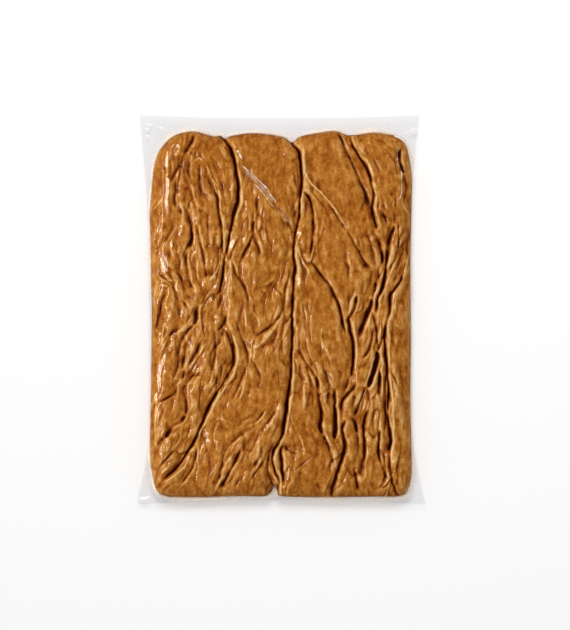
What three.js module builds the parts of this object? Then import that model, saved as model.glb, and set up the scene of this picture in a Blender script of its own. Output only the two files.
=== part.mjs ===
// A clear vacuum pouch drawn tight round flattened logs of seitan salami, lying on its back.
//
// Millimetres, +Z up. The origin is on the resting plane, under the middle of the pouch. +Y runs
// along the logs to the sealed mouth and +X across them. The pouch and its contents are one solid:
// the upper film follows the logs, the seams between them and the main folds of their skin; the
// lower film is drawn round the sides to a flat base; the two meet in a thin welded rim.
import * as THREE from "three";

// Driving dimensions
const POUCH = { halfWidth: 101, halfLength: 136.5 };
const BODY = { left: -92, right: 91, bottom: -131.5, top: 124.5 };
const CORNER = { topLeft: 27, topRight: 15, bottomLeft: 15, bottomRight: 11 };
const THICKNESS = 24; // resting plane to the crown of a log
const RIM_HEIGHT = 9; // resting plane to the welded rim
const RIM_DROOP = 3.5; // how far the pouch's corners hang below the rim
const RIM_FILM = 0.7; // the two welded films
const TOP_SHOULDER = 15; // plan width of the round from the rim up to the crown
const BASE_SHOULDER = 9; // plan width of the round from the rim down to the base
const SIDE_REACH = 0.8; // film outside the body where the sides are pulled in
const LOG_CROWN = 3.2; // rise of the middle of a log over its edges
const CROWN_WIDTH = 22; // how far in from a seam a log reaches its full height
const LUMPS = { height: 0.7, across: 11, along: 17 }; // uneven swelling of the logs
const DEEPEST = 13; // furthest that overlapping grooves go below the crown

// Mesh density
const COLUMNS = 56;
const ROWS = 54;
const EDGE_STEPS = [0, 1, 3, 6.5]; // points inwards from the body's edge, over its round shoulder
const BASE_INSETS = [0, 0.8, 2.6, 5.4, BASE_SHOULDER]; // loops of points round the lower film
const LINE_STEPS = 4; // straight pieces between two points of a seam or fold

// The seams between neighbouring logs: depth, width, and the line of the bottom as [x, y].
const SEAMS = [
  { depth: 9, width: 3.4, line: [[-43, 124], [-34, 111], [-30, 85], [-35, 58], [-40, 36], [-44, 9]] },
  { depth: 8, width: 3.4, line: [[-46, 12], [-56, 6], [-60, -8], [-67, -22], [-69, -44]] },
  { depth: 8, width: 3.8, line: [[-36, -16], [-34, -36], [-48, -62], [-61, -91], [-84, -118]] },
  { depth: 10, width: 3.4, line: [[6, 124], [13, 110], [14, 86], [10, 53], [10, 28], [7.5, -10],
    [6, -50], [1, -86], [-6, -106], [-3, -132]] },
  { depth: 9, width: 3.4, line: [[86, 40], [84, 22], [75.5, 4], [72, -22], [74.5, -60], [76, -95],
    [75, -114], [82, -132]] },
];

// The main folds in the logs' skin, in the same form.
const FOLDS = [
  { depth: 3, width: 3.2, line: [[-62, 122], [-70, 107], [-77, 90]] },
  { depth: 4, width: 3.2, line: [[-51, 92], [-45, 76], [-42, 56], [-41, 38]] },
  { depth: 3, width: 3.0, line: [[-66, 88], [-59, 64], [-55, 38], [-51, 20]] },
  { depth: 3, width: 3.0, line: [[-69, 73], [-62, 52], [-66.5, 33], [-62, 15]] },
  { depth: 3, width: 3.2, line: [[-62, -4], [-71, -12], [-83, -19]] },
  { depth: 3, width: 3.0, line: [[-54, -20], [-62, -36], [-68, -56]] },
  { depth: 4, width: 3.5, line: [[-65, -60], [-71, -77], [-88, -94]] },
  { depth: 3, width: 3.0, line: [[-58, -97], [-63, -112], [-70, -122]] },
  { depth: 3, width: 3.0, line: [[-30, 109], [-14, 88], [1, 69], [9, 54]] },
  { depth: 2.5, width: 3.0, line: [[-18, 80], [-18, 54], [-26, 39]] },
  { depth: 3, width: 3.0, line: [[-34, 32], [-27, 18], [-22, 0]] },
  { depth: 2, width: 3.0, line: [[-20, 14], [-8, 18], [6, 3]] },
  { depth: 2.5, width: 3.0, line: [[-16, -16], [-6, -10], [4, 2]] },
  { depth: 2.5, width: 3.0, line: [[-29, -16], [-21, -36], [-15, -51]] },
  { depth: 2.5, width: 3.0, line: [[-33, -80], [-20, -78], [-2, -70]] },
  { depth: 4.5, width: 3.2, line: [[-27, -96], [-35, -110], [-42, -125]] },
  { depth: 3, width: 3.0, line: [[-13, -92], [-17, -105], [-34, -124]] },
  { depth: 5, width: 3.5, line: [[15, 82], [22, 65], [20.5, 36], [32, 18], [42, -6]] },
  { depth: 3.5, width: 3.2, line: [[16, 104], [32, 74], [48, 53], [62, 29]] },
  { depth: 4, width: 3.2, line: [[40, 122], [50, 100], [62, 75], [67, 54]] },
  { depth: 3.5, width: 3.2, line: [[48, 121], [62, 94], [64.5, 68]] },
  { depth: 7, width: 3.5, line: [[66, 50], [72, 24], [66.5, 0], [67, -26]] },
  { depth: 6, width: 3.5, line: [[54, 21], [49, -2], [48.5, -16], [50, -34], [44.5, -57]] },
  { depth: 5, width: 3.2, line: [[68, 24], [64, 8], [57, -13], [53, -20]] },
  { depth: 4, width: 3.2, line: [[80, 60], [74.5, 44], [73, 28]] },
  { depth: 6, width: 3.5, line: [[10, -28], [24, -47], [28, -78], [38, -111]] },
  { depth: 6, width: 3.5, line: [[37, -56], [37.5, -80], [36.5, -92]] },
  { depth: 5, width: 3.2, line: [[52, -52], [41, -70], [44, -92], [34.5, -130]] },
  { depth: 6, width: 3.5, line: [[67, -29], [61, -54], [51, -72], [52, -84]] },
  { depth: 5, width: 3.2, line: [[68.5, -46], [66, -68], [58, -84], [57.5, -111]] },
  { depth: 4, width: 3.2, line: [[84, 115], [82.5, 101], [86.5, 85], [85.5, 72]] },
];

const { clamp, lerp, smoothstep } = THREE.MathUtils;

// A smooth line through the points, as short straight pieces.
function smoothLine(points) {
  const corners = points.map(([x, y]) => new THREE.Vector3(x, y, 0));
  const curve = new THREE.CatmullRomCurve3(corners, false, "centripetal");
  return curve.getPoints(LINE_STEPS * (points.length - 1));
}

const withSmoothLine = (groove) => ({ ...groove, line: smoothLine(groove.line) });
const seams = SEAMS.map(withSmoothLine);
const folds = FOLDS.map(withSmoothLine);

// The nearest point of a line to (x, y): its distance, its place, and its share of the way along.
function nearest(line, x, y) {
  const point = new THREE.Vector3(x, y, 0);
  const piece = new THREE.Line3();
  let best = { distance: Infinity };
  for (let i = 1; i < line.length; i++) {
    const t = piece.set(line[i - 1], line[i]).closestPointToPointParameter(point, true);
    const foot = piece.at(t, new THREE.Vector3());
    const distance = foot.distanceTo(point);
    if (distance < best.distance) best = { distance, foot, along: (i - 1 + t) / (line.length - 1) };
  }
  return best;
}

// Distance of (x, y) inside the body's plan, a rectangle with its own radius at each corner.
function insideBody(x, y) {
  const dx = x - (BODY.left + BODY.right) / 2;
  const dy = y - (BODY.bottom + BODY.top) / 2;
  const upper = dx < 0 ? CORNER.topLeft : CORNER.topRight;
  const lower = dx < 0 ? CORNER.bottomLeft : CORNER.bottomRight;
  const radius = dy > 0 ? upper : lower;
  const qx = Math.abs(dx) - (BODY.right - BODY.left) / 2 + radius;
  const qy = Math.abs(dy) - (BODY.top - BODY.bottom) / 2 + radius;
  return radius - Math.hypot(Math.max(qx, 0), Math.max(qy, 0)) - Math.min(Math.max(qx, qy), 0);
}

// A quarter-ellipse rise, from 0 at the edge to 1 at the given width.
const roundRise = (distance, width) => Math.sqrt(1 - (1 - clamp(distance / width, 0, 1)) ** 2);

// Depth of a groove at this distance from its line, with soft shoulders and faded ends.
function grooveDepth({ depth, width, line }, x, y) {
  const { distance, along } = nearest(line, x, y);
  const fade = smoothstep(along, -0.12, 0.12) * smoothstep(1 - along, -0.12, 0.12);
  return (depth * fade) / (1 + (distance / width) ** 2);
}

// Height of the middle of the welded rim, which hangs lower towards the pouch's free corners.
function rimHeight(x, y) {
  return RIM_HEIGHT - RIM_DROOP * smoothstep(-insideBody(x, y), 0, 12);
}

// Height of the upper film over (x, y).
function upperFilm(x, y) {
  const foot = rimHeight(x, y) + RIM_FILM / 2;
  const inside = insideBody(x, y);
  if (inside <= 0) return foot;
  const toSeam = Math.min(...seams.map(({ line }) => nearest(line, x, y).distance));
  const crownDrop = LOG_CROWN * (1 - roundRise(toSeam, CROWN_WIDTH));
  const swell = Math.sin(x / LUMPS.across) * Math.sin(y / LUMPS.along + x / LUMPS.across / 3);
  const level = crownDrop + LUMPS.height * (1 - swell);
  const grooves = [...seams, ...folds].map((groove) => grooveDepth(groove, x, y));
  const drop = grooves.reduce((sum, depth) => sum + depth, level);
  return foot + roundRise(inside, TOP_SHOULDER) * (THICKNESS - foot - Math.min(drop, DEEPEST));
}

// How far the film flares outwards along a side: nothing at the start, all of the reach at the end.
const flare = (y, start, end, reach, power) =>
  reach * clamp((y - start) / (end - start), 0, 1) ** power;

// The pouch's cut edge: its left and right sides at height y, its top and bottom ends at position x.
const pouchLeft = (y) =>
  BODY.left - SIDE_REACH - flare(y, 45, 136.5, 7.2, 1.4) - flare(y, -82, -131, 8.2, 1.7);
const pouchRight = (y) =>
  BODY.right + SIDE_REACH + flare(y, 70, 136.5, 5.5, 2) + flare(y, -78, -135, 9.2, 1.7);
const pouchTop = (x) => 133.8 + 2.7 * (Math.abs(x) / POUCH.halfWidth) ** 3;
const pouchBottom = (x) => -133.4 - 3.1 * (Math.abs(x) / POUCH.halfWidth) ** 2;

// The body's own sides at height y, following the round corners.
function bodySide(y, side, sign, upperRadius, lowerRadius) {
  const upper = Math.max(y - BODY.top + upperRadius, 0);
  const lower = Math.max(BODY.bottom + lowerRadius - y, 0);
  const upperDrop = upperRadius - Math.sqrt(Math.max(upperRadius ** 2 - upper ** 2, 0));
  const lowerDrop = lowerRadius - Math.sqrt(Math.max(lowerRadius ** 2 - lower ** 2, 0));
  return side - sign * (upperDrop + lowerDrop);
}
const bodyLeft = (y) => bodySide(y, BODY.left, -1, CORNER.topLeft, CORNER.bottomLeft);
const bodyRight = (y) => bodySide(y, BODY.right, 1, CORNER.topRight, CORNER.bottomRight);

// Even steps between two values, without the values themselves.
const between = (from, to, count) =>
  Array.from({ length: count }, (_, i) => lerp(from, to, (i + 1) / (count + 1)));

// Steps from one edge of the body to the other: close over the shoulders, even across the middle.
function acrossBody(from, to, count) {
  const near = EDGE_STEPS.map((step) => from + step);
  const far = EDGE_STEPS.map((step) => to - step).reverse();
  return [...near, ...between(near.at(-1), far[0], count - 2 * EDGE_STEPS.length), ...far];
}

// One row of points across the pouch at height y, from cut edge to cut edge.
function bodyRow(y) {
  const body = acrossBody(bodyLeft(y), bodyRight(y), COLUMNS);
  return [pouchLeft(y), ...body, pouchRight(y)].map((x) => [x, y]);
}

// One row of points across the flat film beyond the body, evenly spaced, along a given line.
function filmRow(nominalY, lineAt) {
  const left = pouchLeft(nominalY);
  const right = pouchRight(nominalY);
  return [left, ...between(left, right, COLUMNS), right].map((x) => [x, lineAt(x)]);
}

// A point less than half a step from a seam or fold moves onto it, which keeps the groove sharp.
function drawnToGroove([x, y]) {
  const feet = [...seams, ...folds].map(({ line }) => nearest(line, x, y));
  const { foot } = feet.reduce((a, b) => (a.distance < b.distance ? a : b));
  const stepX = (BODY.right - BODY.left) / COLUMNS;
  const stepY = (BODY.top - BODY.bottom) / ROWS;
  const near = Math.abs(foot.x - x) < 0.45 * stepX && Math.abs(foot.y - y) < 0.45 * stepY;
  return near ? [foot.x, foot.y] : [x, y];
}

// The points of the upper film in plan, row by row up the pouch.
function upperPlan() {
  const rim = EDGE_STEPS.length;
  const rows = acrossBody(BODY.bottom, BODY.top, ROWS).map(bodyRow);
  const drawn = rows.map((row, j) => row.map((point, i) => {
    const inEnds = j < rim || j >= rows.length - rim;
    const inSides = i <= rim || i >= row.length - 1 - rim;
    return inEnds || inSides ? point : drawnToGroove(point);
  }));
  const margin = (BODY.top + pouchTop(0)) / 2;
  const bottomRow = filmRow(-POUCH.halfLength, pouchBottom);
  const marginRow = filmRow(margin, () => margin);
  const topRow = filmRow(POUCH.halfLength, pouchTop);
  return [bottomRow, ...drawn, marginRow, topRow];
}

// The point of the body's outline, moved in by the inset, that lies inwards of a cut-edge point.
function inwards([x, y], inset) {
  const core = 32;
  const centreX = clamp(x, BODY.left + core, BODY.right - core);
  const centreY = clamp(y, BODY.bottom + core, BODY.top - core);
  let [near, far] = [0, 1];
  for (let i = 0; i < 30; i++) {
    const middle = (near + far) / 2;
    const inside = insideBody(lerp(centreX, x, middle), lerp(centreY, y, middle));
    if (inside > inset) near = middle;
    else far = middle;
  }
  return [lerp(centreX, x, far), lerp(centreY, y, far)];
}

// Height of the lower film, which is drawn round from the rim down to the flat base.
function lowerFilm(x, y) {
  const foot = rimHeight(x, y) - RIM_FILM / 2;
  return foot * (1 - roundRise(insideBody(x, y), BASE_SHOULDER));
}

// The closed skin of the sealed pouch.
function buildPouch() {
  const corners = [];
  const triangles = [];
  const addCorner = (x, y, z) => corners.push(x, y, z) / 3 - 1;
  const addQuad = (a, b, c, d) => triangles.push(a, b, c, a, c, d);
  const height = (corner) => corners[3 * corner + 2];
  // A quad split along the diagonal that lies more level, so that grooves run on unbroken.
  const addLevelQuad = (a, b, c, d) => {
    const alongFirst = Math.abs(height(a) - height(c)) < Math.abs(height(b) - height(d));
    return alongFirst ? addQuad(a, b, c, d) : addQuad(b, c, d, a);
  };
  const addBand = (inner, outer) => inner.forEach((corner, i) => {
    const next = (i + 1) % inner.length;
    addQuad(corner, inner[next], outer[next], outer[i]);
  });

  const plan = upperPlan();
  const upper = plan.map((row) => row.map(([x, y]) => addCorner(x, y, upperFilm(x, y))));
  for (let j = 1; j < upper.length; j++) {
    for (let i = 1; i < upper[j].length; i++) {
      addLevelQuad(upper[j - 1][i - 1], upper[j - 1][i], upper[j][i], upper[j][i - 1]);
    }
  }

  // The cut edge anticlockwise from above: bottom, right side, top, left side.
  const around = (grid) => [
    ...grid[0].slice(0, -1),
    ...grid.slice(0, -1).map((row) => row.at(-1)),
    ...grid.at(-1).slice(1).reverse(),
    ...grid.slice(1).map((row) => row[0]).reverse(),
  ];
  const cutEdge = around(plan);
  const addLoop = (points) => points.map(([x, y]) => addCorner(x, y, lowerFilm(x, y)));
  const lowerEdge = addLoop(cutEdge);
  addBand(lowerEdge, around(upper));

  let outer = lowerEdge;
  for (const inset of BASE_INSETS) {
    const inner = addLoop(cutEdge.map((point) => inwards(point, inset)));
    addBand(inner, outer);
    outer = inner;
  }
  const centre = addCorner((BODY.left + BODY.right) / 2, (BODY.bottom + BODY.top) / 2, 0);
  outer.forEach((corner, i) => triangles.push(centre, outer[(i + 1) % outer.length], corner));

  const geometry = new THREE.BufferGeometry();
  geometry.setAttribute("position", new THREE.Float32BufferAttribute(corners, 3));
  geometry.setIndex(triangles);
  geometry.computeVertexNormals();
  const skin = new THREE.MeshStandardMaterial({ color: "#a8662f", roughness: 0.25, metalness: 0 });
  const pouch = new THREE.Mesh(geometry, skin);
  pouch.name = "sealed_pouch";
  return pouch;
}

const salami = new THREE.Group();
salami.name = "seitan_salami_pouch";
salami.add(buildPouch());

export default salami;
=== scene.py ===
"""A clear vacuum pouch of seitan salami: wrinkled brown logs under tight glossy film.

Lengths are in millimetres in the row frame until a mesh is made. The food's surface is one height
field, worked out on a square grid of points: round shoulders, the crown of each log, the seams
between the logs, the folds of their skin and the fine wrinkles that follow those folds. The logs
and both sheets of film take their shape from it.
"""
import math

import bpy
import numpy as np
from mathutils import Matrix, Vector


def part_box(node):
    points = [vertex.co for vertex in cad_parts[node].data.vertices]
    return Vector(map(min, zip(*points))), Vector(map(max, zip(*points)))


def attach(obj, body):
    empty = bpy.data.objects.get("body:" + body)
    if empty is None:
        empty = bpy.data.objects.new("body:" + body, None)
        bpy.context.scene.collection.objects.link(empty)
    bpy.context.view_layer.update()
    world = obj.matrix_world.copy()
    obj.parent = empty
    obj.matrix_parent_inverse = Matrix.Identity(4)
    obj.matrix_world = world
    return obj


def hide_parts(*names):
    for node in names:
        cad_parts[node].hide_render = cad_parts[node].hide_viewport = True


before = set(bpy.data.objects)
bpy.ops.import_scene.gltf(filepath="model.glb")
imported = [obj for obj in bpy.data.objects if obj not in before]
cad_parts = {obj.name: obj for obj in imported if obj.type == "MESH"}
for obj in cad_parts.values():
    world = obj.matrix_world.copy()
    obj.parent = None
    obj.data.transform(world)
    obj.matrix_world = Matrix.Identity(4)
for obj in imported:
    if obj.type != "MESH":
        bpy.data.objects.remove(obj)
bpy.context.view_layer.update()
MM = 0.001
POUCH_NODE = "sealed_pouch"
LOW, HIGH = [tuple(value / MM for value in corner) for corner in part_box(POUCH_NODE)]

# Heights above the resting plane
TOP = HIGH[2] - 0.2
RIM = 9.0  # middle of the weld, where the film meets the food's side
RIM_DROOP, DROOP_REACH = 3.5, 20.0  # how much lower the free corners hang, this far from the food
WELD_HALF = 0.12  # half the thickness of the weld

# The food
CREST_ROOM = 3.2  # the skin lies this far below the top, so that crests and swellings have room
TOP_SHOULDER = 15.0  # how far in from the outline the round upper side reaches
BASE_SHOULDER = 9.0  # the same for the lower side
BODY_BASE, BODY_END = -131.0, 124.0  # the logs' ends along Y, before they follow the outline
EDGE_LOG_END = 51.0  # the narrow log along the right edge is shorter
EDGE_LOG_TIP = EDGE_LOG_END - 9, EDGE_LOG_END  # where it comes to a point
END_FIT = 30.0  # the length over which a log's end takes on the outline
DEEP, DEEP_FADE = -9.0, 5.0  # below this depth the grooves level out, over so many mm
SINK = 0.6  # by how much the whole skin is lowered again
LEAST_RISE = 1.0  # from the weld up to the deepest groove
BACK_GAP = 0.3  # from the resting plane to the food's underside

# Folds of the skin
DEPTH_SHARE = 0.7  # how much of the depths in the table is modelled
SEAM_WIDTH = 0.68  # the same for the widths of seams
CORE = 1.2  # a crease wider than this has a level floor
STEEP_SHARE = 0.5  # how much of a crease's depth falls close to its line
STEEP_REACH = 0.55  # the length of that steep part
WALL_REACH = 0.75  # the length of the wall on a crease's east side
LIP_REACH = 1.0  # the length over which the lip beside a crease dies away
TAPER = 5.0  # the length over which a fold dies away at its ends
COURSE_REACH = 5.0  # so far from a fold the wrinkles follow it
FACET_SLOPE = 0.43  # how steeply a flat facet rises eastwards
FACET_TURN = 0.0007  # how much steeper it is for each mm further east

# The film
FILM_GAP = 0.25  # from the food's surface to the middle of the film
FILM_MINIMUM = 0.15  # the least that this gap may be
STAND_OFF = 0.5  # how far the film stands off the food's steep sides
CORNER_X = 101.0  # the free corners, to either side of the middle
FILM_TOP_GRID = 262, 352, 0.25  # columns, rows, and how much closer they are at the edges
FILM_BACK_GRID = 120, 160, 0.6
FILM_LIFT = 0.05  # from the resting plane to the lower film
FOLD_BASE = 0.05  # the film's own folds stand this far above it
WELD_CREASE_HEIGHT = 0.05
TENT = [(-1, -0.05), (-0.5, 0.5), (0, 1), (0.5, 0.5), (1, -0.05)]  # such a fold in section

# The logs' meshes: how much closer their rows and columns are at the edges
LOG_ROWS = 0.5
LOG_COLUMNS = 0.55
BACK_COLUMNS, BACK_SPACING = 18, 0.8

# Looks. Colours of the skin are what a screen shows, from 0 to 255, by their place from dark to pale.
# The darkest stops colour the painted shade in creases, the palest the painted highlights on crests and
# groove edges.
SKIN_AND_PAINTED_LIGHT_TONES = [
    (0.0, 56, 6, 0),
    (0.3, 142, 70, 6),
    (0.5, 176, 107, 33),
    (0.66, 200, 134, 58),
    (0.95, 236, 188, 124),
]
SIDE_PAINTED_HIGHLIGHT = 0.14  # painted highlight on the food's long sides, where the light from above just grazes
FILM_TINT = (0.983, 0.983, 0.987, 1)
FILM_SHINE = 0.08  # the most that the film reflects
WHITE = (1, 1, 1, 1)
FLOOR_COLOR = (0.85, 0.85, 0.85, 1)
FLOOR_GLOW = 0.34
FLOOR_HALF = 9000
FLOOR_DROP = 0.05  # the floor is this far below the resting plane
SKY_LIGHT = 0.42

# Lights: name, place, width, height, power, colour, and what they light. The first two aren't seen
# as reflections. The others are nothing but reflections: a window, seen in the food and in the film.
WINDOW = (-900, 150, 850)
LIGHTS = [
    ("top", (-60, 820, 1330), 550, 550, 10.9, (1, 1, 1), "everything"),
    ("left", (-1300, -130, 780), 600, 600, 10.8, (1, 1, 1), "pack"),
    ("glint", WINDOW, 1800, 60, 11, (1, 0.88, 0.74), "food"),
    ("sheen", WINDOW, 1800, 220, 2, (1, 0.74, 0.48), "food"),
    ("film_sheen", WINDOW, 1800, 150, 8, (1, 0.94, 0.86), "film"),
]
SOFT_LIGHTS = ("top", "left")

# The camera looks straight down. The view is VIEW_HEIGHT tall at VIEW_LEVEL above the floor.
VIEW_MIDDLE = (2.45, -3.5)
VIEW_HEIGHT = 441.0
VIEW_LEVEL = 12.0
DISTANCE = 1500.0
SENSOR = 36.0

# Steps along a line from one of its points to the next
OUTLINE_STEPS = 6
FOLD_STEPS = 4
PINCH_STEPS = 8

# The grid of points
STEP = 0.5
MARGIN = 6.0
XS = np.arange(LOW[0] - MARGIN, HIGH[0] + MARGIN, STEP)
YS = np.arange(LOW[1] - MARGIN, HIGH[1] + MARGIN, STEP)
X, Y = np.meshgrid(XS, YS)
GRID_CORNER = np.array([XS[0], YS[0]])
rng = np.random.default_rng(7)  # for the food
pinch_rng = np.random.default_rng(3)  # for the film's own folds

# ---- Tables. Points are x,y pairs. Lines run down the pouch, but for the outline's two ends.

# The food's outline. Its ends run from left to right.
BODY_LEFT = [
    -65,125.3, -72,123.6, -78,120.6, -83,115.3, -86.6,110, -89.3,101, -90.6,90, -91.6,78, -92.3,66, -92,50,
    -91.5,25, -91,0, -91.4,-50, -92.2,-90, -91.9,-106, -90.6,-115, -89.2,-121.6, -87.7,-126, -84.6,-129.4,
    -79,-131,
]
BODY_RIGHT = [
    79,122.6, 83.2,120.8, 86.9,117.2, 88.7,112, 90.3,102, 91.5,92, 91,66, 90.4,30, 90.7,-20, 90.4,-60, 91,-90,
    91.4,-110, 90.8,-118.4, 89.2,-124.6, 86.2,-129.2, 80,-131,
]
BODY_TOP = [
    -65,125.3, -59,125, -48,122, -43,122.2, -39.5,120.3, -35,122.2, -22,124.1, -8,123.2, 2,121, 7.5,117.6,
    13,121.6, 26,124.4, 38,125.6, 48,122.4, 64,124.6, 79,122.6,
]
BODY_BOTTOM = [
    -79,-131, -60,-131.5, -30,-130.6, -12,-130.6, -7.5,-128, -4.8,-123.5, -3.2,-127.5, 0,-130.6, 30,-131.3,
    60,-131, 80,-131,
]
# The seams between the logs: x,y,depth,width at each point.
SEAM_AB = [
    -43,126,3,1, -43,122,4,1.2, -38.5,117,5,1.6, -34.5,110,6,1.6, -32,99,6.5,2, -30,87,7,2.4, -30.5,77,7,3,
    -31.5,72,7,3.8, -34,61,6.5,2.4, -37.5,45,4.5,1.3, -39.6,37,4,1, -40.3,29,5,1.4, -41.8,20,6,2,
    -43,15,5.5,1.8, -44.5,10,3.5,1.3, -44,4,0.6,1, -39,-9,0.3,1, -36,-15,0.8,1, -34.3,-21,2,1.2,
    -33,-31,2.6,1.4, -34.5,-40,2.4,1.3, -41.5,-52,3.4,1.8, -47.5,-62,5.5,2.4, -50.5,-67.5,6.5,3.2,
    -53,-73,6.5,3.4, -57,-82,6,2.5, -61,-92,5.5,2.2, -66.5,-100,4.5,1.8, -74.5,-111,4,1.8, -81,-117,2.5,1.2,
    -85,-121,1,1, -90,-128,0.5,1,
]
SEAM_BC = [
    7,126,2,1, 7,121,4,1, 8,115.5,5.5,1.8, 12,111,7,2.4, 13.5,103,8,2.3, 14.3,93,8,2.3, 13.8,84,8,2,
    12.5,76,7,1.8, 12,66,7,1.8, 9.5,51.5,5.5,1.2, 9,42,6,1.3, 9.3,33,7,2, 9.9,29,7.5,3, 9,22,7.5,3,
    8.7,14,7,2.2, 7.6,0,7,2.2, 7.4,-20,7,1.8, 6.9,-29,6.5,1.4, 6.4,-46,6.5,1.5, 5,-57,7,2, 3.8,-67,8,3.2,
    2.5,-75,8,3, 1.4,-85,7,2, -1.7,-92.5,6,1.8, -6,-100,6,1.7, -6.8,-104,6,1.8, -5,-111,6,1.7, -2,-118,3.5,2,
    -1.5,-122,3.5,2, -3,-126,3,1, -3.5,-134,2,1,
]
SEAM_CD = [
    90,50,0.5,1, 87,35,1.5,1, 85,27.5,3,1.2, 82.5,20,4.5,1.3, 79,14.5,5,1.4, 77,11.8,6,2, 75.6,6,7,2.9,
    75.3,-1,7,2.6, 73,-10,6.5,1.8, 71.7,-20,6.5,2.2, 73.3,-36,6,1.8, 74.7,-54,6,2, 74.3,-66,5.5,2.4,
    74,-72,5.5,2.4, 74.6,-78,5,1.6, 76.2,-90,6.5,2.2, 75.1,-102,6,1.5, 75.3,-111,5.5,1.4, 77,-120.5,5,1.6,
    80.5,-127,2.5,1, 83,-132,1.5,1,
]
SEAMS = [SEAM_AB, SEAM_BC, SEAM_CD]
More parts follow.
